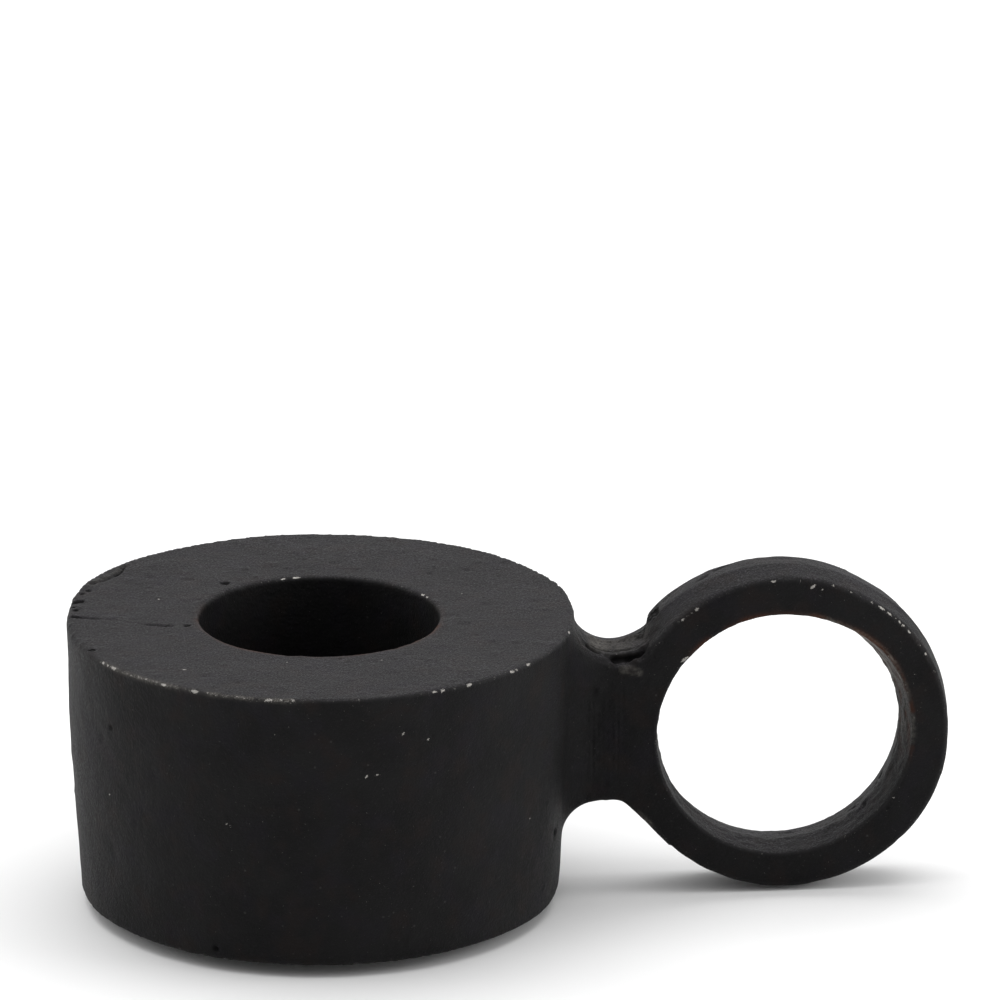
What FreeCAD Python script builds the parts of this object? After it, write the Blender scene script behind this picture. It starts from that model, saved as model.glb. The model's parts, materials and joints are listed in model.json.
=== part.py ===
"""Cast-iron chamberstick: a heavy round candle cup with a finger ring on a short neck.

Frame: millimetres, +Z up. The origin is the centre of the felt pad's underside, below the
candle's axis. +X points from the cup to the finger ring, and the mould parts along the XZ plane.
"""
import FreeCAD, Part
import math
import os

os.makedirs("parts", exist_ok=True)

# ---- Driving dimensions, mm ----

# Felt pad glued under the cup
PAD_RADIUS = 19.5
PAD_THICKNESS = 1.2

# Candle cup: a thick drum, slightly wider at the rim than at the base
CUP_HEIGHT = 27.2
CUP_RIM_RADIUS = 24.4
CUP_BASE_RADIUS = 22.9
CUP_EDGE_ROUNDING = 0.8

# Blind socket for a standard 22 mm dinner candle
SOCKET_RADIUS = 11.5
SOCKET_WALL_LENGTH = 20.0
SOCKET_MOUTH_ROUNDING = 0.4

# Finger ring and neck share one thickness, so their side faces are flush
HANDLE_THICKNESS = 6.9

# Finger ring: its outside is crowned, because the mould's draft runs both ways from the parting plane
RING_REACH = 44.5
RING_CENTRE_ABOVE_CUP_BASE = 14.9
RING_FACE_RADIUS = 15.6
RING_PARTING_RADIUS = 15.95
RING_OUTER_ROUNDING = 0.5

# Finger hole: it sits a little nearer the cup than the ring's outside does, so the far side is thicker
HOLE_RADIUS = 12.0
HOLE_SHIFT_TO_CUP = 0.3
HOLE_EDGE_ROUNDING = 0.3

# Neck: a short upright web, hollowed above and arched below, and flared where it runs into the cup
NECK_TOP_AT = 28.4
NECK_TOP_ABOVE_CUP_BASE = 22.8
NECK_TOP_MEETS_RING_AT = 32.4
NECK_UNDERSIDE_AT = 27.5
NECK_UNDERSIDE_ABOVE_CUP_BASE = 8.9
NECK_UNDERSIDE_MEETS_RING_AT = 31.7
NECK_ROOT_TOP_BELOW_RIM = 1.0
NECK_ROOT_BOTTOM_ABOVE_CUP_BASE = 6.0
NECK_FLARE = 3.4
FLARE_ROOT_BELOW_SURFACE = 0.6

# A point on each of the neck's four arcs. The first is measured outward from the arc's end on
# the cup and up from the crest; the others are (along X, up) from the crest or from the arch.
CUP_SIDE_OF_CREST = (1.3, 1.1)
RING_SIDE_OF_CREST = (2.2, 0.6)
RING_SIDE_OF_ARCH = (2.4, -1.0)
CUP_SIDE_OF_ARCH = (-2.6, -0.5)

# How far the neck's construction runs into the cup before the cup is taken away from it
NECK_RUNS_INTO_CUP = 3.0

# ---- Derived places ----

CUP_BASE_Z = PAD_THICKNESS
CUP_RIM_Z = CUP_BASE_Z + CUP_HEIGHT
SOCKET_DEPTH = SOCKET_WALL_LENGTH + SOCKET_MOUTH_ROUNDING
RING_CENTRE_Z = CUP_BASE_Z + RING_CENTRE_ABOVE_CUP_BASE
HALF_THICKNESS = HANDLE_THICKNESS / 2

# Spare length on a construction solid, so that it runs right through what it meets
CLEARANCE = 1.0

UP = FreeCAD.Vector(0, 0, 1)
ALONG_Y = FreeCAD.Vector(0, 1, 0)
RING_CENTRE = FreeCAD.Vector(RING_REACH, 0, RING_CENTRE_Z)
HOLE_CENTRE_X = RING_REACH - HOLE_SHIFT_TO_CUP
INSIDE_CUP_X = CUP_BASE_RADIUS - NECK_RUNS_INTO_CUP
INSIDE_RING_X = RING_REACH - RING_FACE_RADIUS / 2


def cup_radius_at(z):
    """Radius of the cup's tapered side at height z."""
    share = (z - CUP_BASE_Z) / CUP_HEIGHT
    return CUP_BASE_RADIUS + (CUP_RIM_RADIUS - CUP_BASE_RADIUS) * share


def ring_edge_z(x, sign):
    """Height of the crowned ring's outline at x: sign +1 above its centre, -1 below."""
    across = x - RING_REACH
    return RING_CENTRE_Z + sign * math.sqrt(RING_PARTING_RADIUS ** 2 - across ** 2)


def circular_edges(shape, radius):
    """The shape's full-circle edges of this radius."""
    found = []
    for edge in shape.Edges:
        is_circle = isinstance(edge.Curve, Part.Circle)
        if is_circle and abs(edge.Curve.Radius - radius) < 1e-6 and edge.isClosed():
            found.append(edge)
    return found


def in_xz(x, z, y=0.0):
    """A point of an outline drawn in the upright plane through both axes."""
    return FreeCAD.Vector(x, y, z)


def felt_base_pad():
    return Part.makeCylinder(PAD_RADIUS, PAD_THICKNESS)


def candle_cup():
    base = FreeCAD.Vector(0, 0, CUP_BASE_Z)
    drum = Part.makeCone(CUP_BASE_RADIUS, CUP_RIM_RADIUS, CUP_HEIGHT, base, UP)
    outer_edges = circular_edges(drum, CUP_BASE_RADIUS) + circular_edges(drum, CUP_RIM_RADIUS)
    drum = drum.makeFillet(CUP_EDGE_ROUNDING, outer_edges)
    floor = FreeCAD.Vector(0, 0, CUP_RIM_Z - SOCKET_DEPTH)
    cup = drum.cut(Part.makeCylinder(SOCKET_RADIUS, SOCKET_DEPTH, floor, UP))
    mouth = [edge for edge in circular_edges(cup, SOCKET_RADIUS) if edge.CenterOfMass.z > CUP_RIM_Z - 0.1]
    return cup.makeFillet(SOCKET_MOUTH_ROUNDING, mouth)


def ring_disc():
    """The ring's crowned body about the Y direction, as a full disc."""
    outline = [
        (0.0, -HALF_THICKNESS),
        (RING_FACE_RADIUS, -HALF_THICKNESS),
        (RING_PARTING_RADIUS, 0.0),
        (RING_FACE_RADIUS, HALF_THICKNESS),
        (0.0, HALF_THICKNESS),
    ]
    points = [in_xz(RING_REACH + radius, RING_CENTRE_Z, y) for radius, y in outline]
    section = Part.Face(Part.makePolygon(points + points[:1]))
    return section.revolve(RING_CENTRE, ALONG_Y, 360)


def finger_ring():
    disc = ring_disc()
    disc = disc.makeFillet(RING_OUTER_ROUNDING, circular_edges(disc, RING_FACE_RADIUS))
    hole_start = in_xz(HOLE_CENTRE_X, RING_CENTRE_Z, -HALF_THICKNESS)
    ring = disc.cut(Part.makeCylinder(HOLE_RADIUS, HANDLE_THICKNESS, hole_start, ALONG_Y))
    return ring.makeFillet(HOLE_EDGE_ROUNDING, circular_edges(ring, HOLE_RADIUS))


def neck_side_view():
    """The neck's outline seen from the side, run into the cup and into the ring's disc."""
    root_top_z = CUP_RIM_Z - NECK_ROOT_TOP_BELOW_RIM
    root_bottom_z = CUP_BASE_Z + NECK_ROOT_BOTTOM_ABOVE_CUP_BASE
    root_top = in_xz(cup_radius_at(root_top_z), root_top_z)
    root_bottom = in_xz(cup_radius_at(root_bottom_z), root_bottom_z)
    crest = in_xz(NECK_TOP_AT, CUP_BASE_Z + NECK_TOP_ABOVE_CUP_BASE)
    arch = in_xz(NECK_UNDERSIDE_AT, CUP_BASE_Z + NECK_UNDERSIDE_ABOVE_CUP_BASE)
    ring_top = in_xz(NECK_TOP_MEETS_RING_AT, ring_edge_z(NECK_TOP_MEETS_RING_AT, 1))
    ring_bottom = in_xz(NECK_UNDERSIDE_MEETS_RING_AT, ring_edge_z(NECK_UNDERSIDE_MEETS_RING_AT, -1))

    def beside(point, offset):
        return in_xz(point.x + offset[0], point.z + offset[1])

    above_root = in_xz(root_top.x, crest.z)
    edges = [
        Part.makeLine(in_xz(INSIDE_CUP_X, root_top_z), root_top),
        Part.Arc(root_top, beside(above_root, CUP_SIDE_OF_CREST), crest).toShape(),
        Part.Arc(crest, beside(crest, RING_SIDE_OF_CREST), ring_top).toShape(),
        Part.makeLine(ring_top, in_xz(INSIDE_RING_X, ring_top.z)),
        Part.makeLine(in_xz(INSIDE_RING_X, ring_top.z), in_xz(INSIDE_RING_X, ring_bottom.z)),
        Part.makeLine(in_xz(INSIDE_RING_X, ring_bottom.z), ring_bottom),
        Part.Arc(ring_bottom, beside(arch, RING_SIDE_OF_ARCH), arch).toShape(),
        Part.Arc(arch, beside(arch, CUP_SIDE_OF_ARCH), root_bottom).toShape(),
        Part.makeLine(root_bottom, in_xz(INSIDE_CUP_X, root_bottom_z)),
        Part.makeLine(in_xz(INSIDE_CUP_X, root_bottom_z), in_xz(INSIDE_CUP_X, root_top_z)),
    ]
    return Part.Face(Part.Wire(edges))


def neck_plan_view():
    """The neck's outline seen from above: parallel sides that flare where they reach the cup."""
    wide = HALF_THICKNESS + NECK_FLARE
    flare_starts_x = CUP_BASE_RADIUS + NECK_FLARE
    flare_ends_x = CUP_BASE_RADIUS - FLARE_ROOT_BELOW_SURFACE
    bend = (1 - math.sqrt(0.5)) * NECK_FLARE

    def corner(x, y):
        return FreeCAD.Vector(x, y, 0)

    def flare(side):
        """The quarter-round run-out on one side: +1 is the left, -1 the right."""
        start = corner(flare_ends_x, side * wide)
        middle = corner(CUP_BASE_RADIUS + bend, side * (HALF_THICKNESS + bend))
        return Part.Arc(start, middle, corner(flare_starts_x, side * HALF_THICKNESS)).toShape()

    edges = [
        Part.makeLine(corner(INSIDE_CUP_X, wide), corner(flare_ends_x, wide)),
        flare(1),
        Part.makeLine(corner(flare_starts_x, HALF_THICKNESS), corner(INSIDE_RING_X, HALF_THICKNESS)),
        Part.makeLine(corner(INSIDE_RING_X, HALF_THICKNESS), corner(INSIDE_RING_X, -HALF_THICKNESS)),
        Part.makeLine(corner(INSIDE_RING_X, -HALF_THICKNESS), corner(flare_starts_x, -HALF_THICKNESS)),
        flare(-1),
        Part.makeLine(corner(flare_ends_x, -wide), corner(INSIDE_CUP_X, -wide)),
        Part.makeLine(corner(INSIDE_CUP_X, -wide), corner(INSIDE_CUP_X, wide)),
    ]
    return Part.Face(Part.Wire(edges))


def handle_neck(cup):
    """What the side view and the plan view share, less the cup and the ring's full disc."""
    reach = HALF_THICKNESS + NECK_FLARE + CLEARANCE
    side = neck_side_view()
    side.translate(FreeCAD.Vector(0, -reach, 0))
    plan = neck_plan_view()
    web = side.extrude(ALONG_Y * (2 * reach)).common(plan.extrude(UP * (CUP_RIM_Z + CLEARANCE)))
    web = web.cut(cup)
    return web.cut(ring_disc())


def export(shape, node):
    solid = shape.Solids[0]
    print(node, "solids", len(shape.Solids), "valid", solid.isValid(), "volume", round(solid.Volume, 1))
    solid.exportStep("parts/" + node + ".step")


cup = candle_cup()
export(felt_base_pad(), "felt_base_pad")
export(cup, "candle_cup")
export(handle_neck(cup), "handle_neck")
export(finger_ring(), "finger_ring")
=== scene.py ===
"""Cast-iron chamberstick: the visual model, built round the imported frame.

The iron is one casting, so its surface is worked out once, as a signed distance in millimetres, and then
parted into the cup, the neck and the ring where the frame's own parts meet. Sizes come from the frame.
"""
import json
import math

import bmesh
import bpy
import numpy as np
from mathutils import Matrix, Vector

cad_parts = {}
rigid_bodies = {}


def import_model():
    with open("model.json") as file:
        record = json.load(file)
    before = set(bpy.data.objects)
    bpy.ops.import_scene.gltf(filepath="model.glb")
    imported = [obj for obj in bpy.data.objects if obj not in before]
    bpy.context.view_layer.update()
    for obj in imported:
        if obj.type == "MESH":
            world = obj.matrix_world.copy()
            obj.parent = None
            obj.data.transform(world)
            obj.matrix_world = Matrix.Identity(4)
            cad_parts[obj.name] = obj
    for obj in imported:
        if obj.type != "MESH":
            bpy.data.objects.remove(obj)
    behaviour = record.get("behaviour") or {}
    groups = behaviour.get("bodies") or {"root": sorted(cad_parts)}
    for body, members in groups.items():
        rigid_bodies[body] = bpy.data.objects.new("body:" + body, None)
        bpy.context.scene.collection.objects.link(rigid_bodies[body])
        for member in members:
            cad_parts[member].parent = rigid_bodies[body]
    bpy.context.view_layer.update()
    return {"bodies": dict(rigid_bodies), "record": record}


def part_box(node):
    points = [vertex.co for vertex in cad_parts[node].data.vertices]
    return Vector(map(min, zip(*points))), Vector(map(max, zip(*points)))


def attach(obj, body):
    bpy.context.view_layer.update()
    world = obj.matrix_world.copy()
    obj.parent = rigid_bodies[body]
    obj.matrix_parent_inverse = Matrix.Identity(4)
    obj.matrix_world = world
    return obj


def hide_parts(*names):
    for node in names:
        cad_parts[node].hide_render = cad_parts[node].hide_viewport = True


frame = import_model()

MM = 0.001
BODY = next(iter(frame["bodies"]))

# ---- Sizes from the frame, mm ----


def box_mm(node):
    low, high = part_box(node)
    return np.array(low) / MM, np.array(high) / MM


CUP_LOW, CUP_HIGH = box_mm("candle_cup")
RING_LOW, RING_HIGH = box_mm("finger_ring")
PAD_HIGH = box_mm("felt_base_pad")[1]
MOUNTS = {mount["name"]: mount for mount in frame["record"]["mounts"]}
SOCKET = MOUNTS["candle_socket"]
LOOP = MOUNTS["finger_loop"]

RIM_RADIUS = CUP_HIGH[0]
BASE_Z, RIM_Z = CUP_LOW[2], CUP_HIGH[2]
CUP_HEIGHT = RIM_Z - BASE_Z
SOCKET_RADIUS = SOCKET["dims"]["r_mm"]
SOCKET_FLOOR_Z = SOCKET["pos_m"][2] / MM - SOCKET["dims"]["length_mm"] / 2
RING_X = (RING_LOW[0] + RING_HIGH[0]) / 2
RING_Z = (RING_LOW[2] + RING_HIGH[2]) / 2
RING_PARTING_RADIUS = (RING_HIGH[0] - RING_LOW[0]) / 2
HOLE_X = LOOP["pos_m"][0] / MM
HOLE_RADIUS = LOOP["dims"]["r_mm"]
HALF_THICKNESS = RING_HIGH[1]

# ---- The casting's own shape, mm ----

CUP_BARREL = 0.1
CUP_TAPER = 1.5              # how much wider the rim is than the base, in radius
SWELL_BY_NECK = 0.36         # how much fuller the rim stands behind the neck's root
SWELL_ACROSS = 0.26          # and across from it
SLACK_ON_LEFT = 0.2          # and how far it falls short at the far left
BASE_ROUNDING = 0.4
RIM_ROUNDING = 0.12          # of the rim's edge at the back
RIM_WEAR_FRONT = 0.24        # more of it towards the front
RIM_WEAR_LEFT = 0.5          # and at the far left
MOUTH_ROUNDING = 0.45
SOCKET_FLOOR_ROUNDING = 1.2
RING_CROWN = 0.38            # draft of the ring's outside, face to parting plane
RING_FULLER = 0.1            # how much fuller the ring is all over its far side
RING_FULLER_LOW = 0.26       # and low down
RING_FLATTER_HIGH = 0.2      # and how much flatter high up
LUMP_FRONT = 0.25            # extra metal on the ring's upper cup side
LUMP_BACK = 0.45             # and more of it towards the back
HOLE_DRAFT = 0.4             # draft of the ring's hole, face to parting plane
HOLE_GRIND = 0.1             # how much wider than the frame's bore it was cleaned out
HOLE_DROP = 0.2              # how far the hole's centre sits below the ring's
HOLE_TILT = 0.03             # and how much lower it gets per mm towards the back
HOLE_FLARE = 0.5             # how much wider the hole opens at the front, on its far side
HOLE_FLARE_HIGH = 0.3        # and how much more high on that side
HANDLE_EDGE_ROUNDING = 0.5
HOLE_EDGE_ROUNDING = 0.22
NECK_CREST_X = 28.2
NECK_CREST_Z = 24.1
NECK_SADDLE_RISE = 0.1       # how fast the saddle climbs to the ring, mm per mm squared
NECK_ARCH_Z = 9.85
NECK_ARCH_DROOP = 0.1        # the arch below falls this gently towards the cup
NECK_FALL_X = 28.8           # and past here runs down to the ring
NECK_FALL_SLOPE = 1.02
NECK_FALL_BLEND = 0.3
NECK_EDGE_ROUNDING = 0.2
NECK_MISMATCH = 0.6          # the mould's front half sat this much lower along the saddle
NECK_INNER_X = 20.0
NECK_OUTER_X = 33.2
NECK_INTO_RING = 13.4        # the neck stops this far from the ring's centre, inside the band
NECK_RING_FILLET = 0.5
CUP_NECK_FILLET = 2.8        # at the base
FILLET_GAIN_MIDDLE = 0.3     # how much larger it is half way up
FILLET_GAIN_TOP = 1.0        # and how much more at the top

HOLE_Z = RING_Z - HOLE_DROP

# Planes, across X, where the casting's mesh is parted into its three pieces
CUP_NECK_CUT = RIM_RADIUS + 0.6
NECK_RING_CUT = RING_LOW[0] + 0.9

GRID_STEP = 0.45      # of the first, coarse mesh


# ---- Noise and soft steps ----


def lattice(ix, iy, iz, seed):
    """A repeatable pseudo-random number from -1 to 1 for each whole-number lattice point."""
    h = (ix * 374761393 + iy * 668265263 + iz * 2147483647 + seed * 1274126177) & 0xFFFFFFFF
    h = ((h ^ (h >> 13)) * 1103515245) & 0xFFFFFFFF
    h = ((h ^ (h >> 16)) * 2246822519) & 0xFFFFFFFF
    return ((h ^ (h >> 15)) & 0xFFFFFF) / float(0x7FFFFF) - 1.0


def noise(p, size, seed):
    """Smooth noise from about -1 to 1 whose lumps are `size` mm apart."""
    q = p / size
    cell = np.floor(q).astype(np.int64)
    t = q - cell
    t = t * t * t * (t * (t * 6 - 15) + 10)
    total = np.zeros(len(p))
    for dx in (0, 1):
        for dy in (0, 1):
            for dz in (0, 1):
                weight = np.ones(len(p))
                for axis, d in enumerate((dx, dy, dz)):
                    weight = weight * (t[:, axis] if d else 1 - t[:, axis])
                total += weight * lattice(cell[:, 0] + dx, cell[:, 1] + dy, cell[:, 2] + dz, seed)
    return total


def step(low, high, value):
    """0 below low, 1 above high, smooth between; low may be the larger, which turns it round."""
    t = np.clip((value - low) / (high - low), 0.0, 1.0)
    return t * t * (3 - 2 * t)


def round_and(a, b, radius):
    """Where two solids overlap, with their shared edge rounded."""
    past_a, past_b = np.maximum(a + radius, 0), np.maximum(b + radius, 0)
    return np.minimum(np.maximum(a, b), -radius) + np.hypot(past_a, past_b)


def round_or(a, b, radius):
    """Two solids joined, with a fillet where they meet."""
    short_a, short_b = np.maximum(radius - a, 0), np.maximum(radius - b, 0)
    return np.maximum(np.minimum(a, b), radius) - np.hypot(short_a, short_b)


# ---- The casting as a signed distance ----


def cup_radius(z):
    """A straight taper with a trace of a barrel."""
    share = np.clip((z - BASE_Z) / CUP_HEIGHT, 0, 1)
    return RIM_RADIUS - CUP_TAPER * (1 - share) + CUP_BARREL * np.sin(math.pi * share)


def cup_swell(x, y, z):
    """The rim is a little fuller behind the neck's root and across from it, and slacker on the left."""
    angle = np.degrees(np.arctan2(y, x))
    by_neck = SWELL_BY_NECK * step(-2, 16, angle) * step(75, 36, angle)
    across = SWELL_ACROSS * np.exp(-((angle - 142) / 20) ** 2)
    slack = SLACK_ON_LEFT * step(-21.5, -24.0, x) * step(18, 26, z)
    return (by_neck + across) * step(8, 27, z) - slack


def rim_rounding(x, y):
    """Crisp at the back, worn towards the front and most of all on the side away from the handle."""
    return RIM_ROUNDING + RIM_WEAR_FRONT * step(12, -6, y) + RIM_WEAR_LEFT * step(-22.3, -24.0, x)


def drum(x, y, z):
    side = np.hypot(x, y) - cup_radius(z) - cup_swell(x, y, z)
    middle = (RIM_Z + BASE_Z) / 2
    ends = np.abs(z - middle) - CUP_HEIGHT / 2
    return round_and(side, ends, np.where(z > middle, rim_rounding(x, y), BASE_ROUNDING))


def outside_socket(x, y, z):
    wall = np.hypot(x, y) - SOCKET_RADIUS
    floor = SOCKET_FLOOR_Z - z
    return -round_and(wall, floor, SOCKET_FLOOR_ROUNDING)


def signed(angle):
    """The same angle, from -180 to 180 degrees."""
    return (angle + 180) % 360 - 180


def from_faces(y):
    """How far in from the handle's faces: 0 at either face, 1 half way between them."""
    return 1 - np.clip(np.abs(y) / HALF_THICKNESS, 0, 1)


def ring_lump(angle, y):
    """Extra metal left on the ring's upper cup side, ending in a step above the neck."""
    towards_back = step(-3.0, 1.5, y)
    start, end = 150 - 10.5 * towards_back, 153 - 7.5 * towards_back
    return (LUMP_FRONT + LUMP_BACK * towards_back) * step(84, 141, angle) * (1 - step(start, end, angle))


def out_of_round(angle):
    """The ring is a little fuller low on its far side and flatter high on it."""
    turn = signed(angle)
    all_over = RING_FULLER * step(-110, -80, turn) * (1 - step(95, 115, turn))
    low = RING_FULLER_LOW * np.exp(-((turn + 32) / 27) ** 2)
    high = RING_FLATTER_HIGH * np.exp(-((turn - 58) / 14) ** 2)
    return all_over + low - high


def neck_web(x, y, z):
    """The neck's upright outline: a saddle above, an arch below that runs down into the ring."""
    rise = np.maximum(x - NECK_CREST_X, 0)
    shelf = NECK_MISMATCH * step(-2.0, -2.5, y) * step(26.8, 28.2, x) * (1 - step(30.8, 32.2, x))
    steepness = 2 * NECK_SADDLE_RISE * rise
    top = (z - NECK_CREST_Z + shelf - NECK_SADDLE_RISE * rise ** 2) / np.sqrt(1 + steepness ** 2)
    fall = np.logaddexp(0, (x - NECK_FALL_X) / NECK_FALL_BLEND) * NECK_FALL_BLEND
    slope = NECK_FALL_SLOPE * step(NECK_FALL_X - 0.5, NECK_FALL_X + 0.7, x)
    arch = NECK_ARCH_Z - NECK_FALL_SLOPE * fall + NECK_ARCH_DROOP * np.minimum(x - 27.0, 0)
    bottom = (arch - z) / np.sqrt(1 + slope ** 2)
    return round_and(top, bottom, NECK_EDGE_ROUNDING)


def hole_gap(x, y, z, turn):
    """Distance inside the hole's wall, drafted from both faces and wider in front on its far side."""
    towards_front = np.clip(-y / HALF_THICKNESS, 0, 1)
    flare = HOLE_FLARE * np.exp(-(turn / 45) ** 2) + HOLE_FLARE_HIGH * np.exp(-((turn - 38) / 18) ** 2)
    from_hole = np.hypot(x - HOLE_X, z - HOLE_Z + HOLE_TILT * y)
    return HOLE_RADIUS + HOLE_GRIND - HOLE_DRAFT * from_faces(y) + flare * towards_front - from_hole


def handle(x, y, z):
    """Ring and neck drawn as one outline in the upright plane, then given the handle's thickness."""
    across, above = x - RING_X, z - RING_Z
    from_centre = np.hypot(across, above)
    angle = np.degrees(np.arctan2(above, across)) % 360
    ring = from_centre - (RING_PARTING_RADIUS - RING_CROWN) - ring_lump(angle, y) - out_of_round(angle)
    web = np.maximum(neck_web(x, y, z), NECK_INTO_RING - from_centre)
    web = np.maximum(web, np.maximum(NECK_INNER_X - x, x - NECK_OUTER_X))
    outline = round_or(ring, web, NECK_RING_FILLET)

    outline = outline - RING_CROWN * from_faces(y)
    body = round_and(outline, np.abs(y) - HALF_THICKNESS, HANDLE_EDGE_ROUNDING)
    return round_and(body, hole_gap(x, y, z, signed(angle)), HOLE_EDGE_ROUNDING)


def casting(p):
    x, y, z = p[..., 0], p[..., 1], p[..., 2]
    fillet = CUP_NECK_FILLET + FILLET_GAIN_MIDDLE * step(9, 14, z) + FILLET_GAIN_TOP * step(19, 24, z)
    solid = round_or(drum(x, y, z), handle(x, y, z), fillet)
    return round_and(solid, outside_socket(x, y, z), MOUTH_ROUNDING)


def gradient(p, reach=0.04):
    out = np.empty_like(p)
    for axis in range(3):
        shift = np.zeros(3)
        shift[axis] = reach
        out[:, axis] = (casting(p + shift) - casting(p - shift)) / (2 * reach)
    return out


def unit(v):
    return v / np.maximum(np.linalg.norm(v, axis=1, keepdims=True), 1e-9)


# ---- From distance to mesh ----


CORNERS = [(i, j, k) for i in (0, 1) for j in (0, 1) for k in (0, 1)]


def at_corner(f, offset):
    """The grid's values at the same corner of every cell."""
    return f[tuple(slice(o, o + n - 1) for o, n in zip(offset, f.shape))]


def net_points(f, crossed):
    """For each crossed cell, the mean of the places where the surface cuts its edges, in cells."""
    count = int(crossed.sum())
    total = np.zeros((count, 3))
    hits = np.zeros(count)
    for start in CORNERS:
        for axis in range(3):
            if start[axis]:
                continue
            end = tuple(1 if a == axis else start[a] for a in range(3))
            a, b = at_corner(f, start)[crossed], at_corner(f, end)[crossed]
            cut = (a < 0) != (b < 0)
            point = np.tile(np.array(start, dtype=float), (int(cut.sum()), 1))
            point[:, axis] += a[cut] / (a[cut] - b[cut])
            total[cut] += point
            hits[cut] += 1
    return np.argwhere(crossed) + total / hits[:, None]


def net_quads(below, index):
    """A quad round each grid edge that the surface crosses, facing out of the iron."""
    quads = []
    for axis in range(3):
        u, v = (axis + 1) % 3, (axis + 2) % 3
        first = [slice(1, -1)] * 3
        first[axis] = slice(0, -1)
        second = list(first)
        second[axis] = slice(1, None)
        starts = below[tuple(first)]
        changed = starts != below[tuple(second)]
        at = np.argwhere(changed)
        at[:, u] += 1
        at[:, v] += 1
        loop = []
        for du, dv in ((-1, -1), (0, -1), (0, 0), (-1, 0)):
            cell = at.copy()
            cell[:, u] += du
            cell[:, v] += dv
            loop.append(index[cell[:, 0], cell[:, 1], cell[:, 2]])
        face = np.stack(loop, axis=1)
        flip = ~starts[changed]
        face[flip] = face[flip][:, ::-1]
        quads.append(face)
    return np.concatenate(quads)


def surface_net(low, high, pitch):
    """One vertex in each grid cell that the surface crosses, and a quad round each crossed grid edge."""
    axes = [np.arange(low[a] - 2 * pitch, high[a] + 2 * pitch, pitch) for a in range(3)]
    f = casting(np.stack(np.meshgrid(*axes, indexing="ij"), axis=-1))
    inside = sum((at_corner(f, offset) < 0).astype(np.int8) for offset in CORNERS)
    crossed = (inside > 0) & (inside < len(CORNERS))
    index = np.full(crossed.shape, -1, dtype=np.int64)
    index[crossed] = np.arange(int(crossed.sum()))
    origin = np.array([axis_values[0] for axis_values in axes])
    return net_points(f, crossed) * pitch + origin, net_quads(f < 0, index)


def project(p, rounds=3):
    """Moves points onto the casting's surface."""
    for _ in range(rounds):
        g = gradient(p)
        p = p - g * (casting(p) / np.maximum((g * g).sum(1), 1e-9))[:, None]
    return p


def relax(p, edges, rounds, share=0.5):
    """Evens out the mesh along the surface, and puts each point back on it."""
    degree = np.bincount(edges.ravel(), minlength=len(p))[:, None]
    for _ in range(rounds):
        mean = np.zeros_like(p)
        for axis in range(3):
            mean[:, axis] = np.bincount(edges[:, 0], p[edges[:, 1], axis], len(p))
            mean[:, axis] += np.bincount(edges[:, 1], p[edges[:, 0], axis], len(p))
        move = mean / np.maximum(degree, 1) - p
        normal = unit(gradient(p))
        move -= normal * (move * normal).sum(1)[:, None]
        p = project(p + share * move, rounds=1)
    return p


def bend(p, normal, reach=0.45):
    """How sharply the surface turns away at each point: 0 on the flat, about 0.15 on a crisp edge."""
    side = unit(np.cross(normal, np.where(np.abs(normal[:, :1]) < 0.7, [[1.0, 0, 0]], [[0, 1.0, 0]])))
    other = np.cross(normal, side)
    return sum(casting(p + reach * d) for d in (side, -side, other, -other)) / 4


# ---- Marks of the mould, the sand and use ----


def on_rim(angle, inset=0.0, drop=0.0):
    a = math.radians(angle)
    radius = RIM_RADIUS - inset
    return (radius * math.cos(a), radius * math.sin(a), RIM_Z - drop)


def on_side(angle, z):
    a = math.radians(angle)
    return (cup_radius(z) * math.cos(a), cup_radius(z) * math.sin(a), z)


def on_ring(angle, radius, y):
    a = math.radians(angle)
    return (RING_X + radius * math.cos(a), y, RING_Z + radius * math.sin(a))


def turning(angle):
    """The direction in which a circle runs at that angle, in its own plane."""
    a = math.radians(angle)
    return -math.sin(a), math.cos(a)


FRONT_FACE = -HALF_THICKNESS
RING_FRONT_EDGE = RING_PARTING_RADIUS - RING_CROWN - 0.12      # the middle of the rounded edge
MOUTH_INSET = RIM_RADIUS - SOCKET_RADIUS - 0.2                 # from the rim in to the socket's edge
SAND_GRAINS = 900

# The mould's joint shows as a broken hairline over the cup's top face: (x, y)
JOINT_LINE = [(-24.0, 2.1), (-21.0, 1.1), (-16.5, -1.0), (-14.3, -1.6)]

# A sliver that the mould tore at the rim, with a crevice behind it: (angle, distance in from the rim)
TORN_SLIVER = [(151.0, 0.45), (148.5, 1.0), (144.0, 1.25), (140.0, 1.05), (137.0, 0.45)]

# Marks of the neck, each along a path: (x, y, z)
SADDLE_LINE = [(26.0, -1.35, 0), (29.6, -1.5, 0)]
NICK_BY_CUP = [(25.8, -2.2, 25.2), (26.5, -2.2, 24.7)]
MISMATCH_SLOT = [(28.1, -2.5, 23.85), (30.0, -2.5, 23.95), (31.8, -2.5, 24.6)]
PATCH_UNDER_SLOT = [(28.8, FRONT_FACE, 23.2), (30.3, FRONT_FACE, 22.8)]
RUB_UNDER_NECK = [(30.2, FRONT_FACE, 8.4), (31.4, FRONT_FACE, 7.2)]

# Seams inside the hole: (y, angle at the low end, angle at the high end)
HOLE_SEAMS = [(0.2, -18, 40), (1.3, -6, 26)]

# Laps on the ring's band: (angle at one end, angle at the other, y at one end, y at the other)
BAND_LAPS = [(113, 106, 2.2, 2.9), (120, 116, 1.0, 1.5), (134, 128, 1.6, 2.3)]

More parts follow.
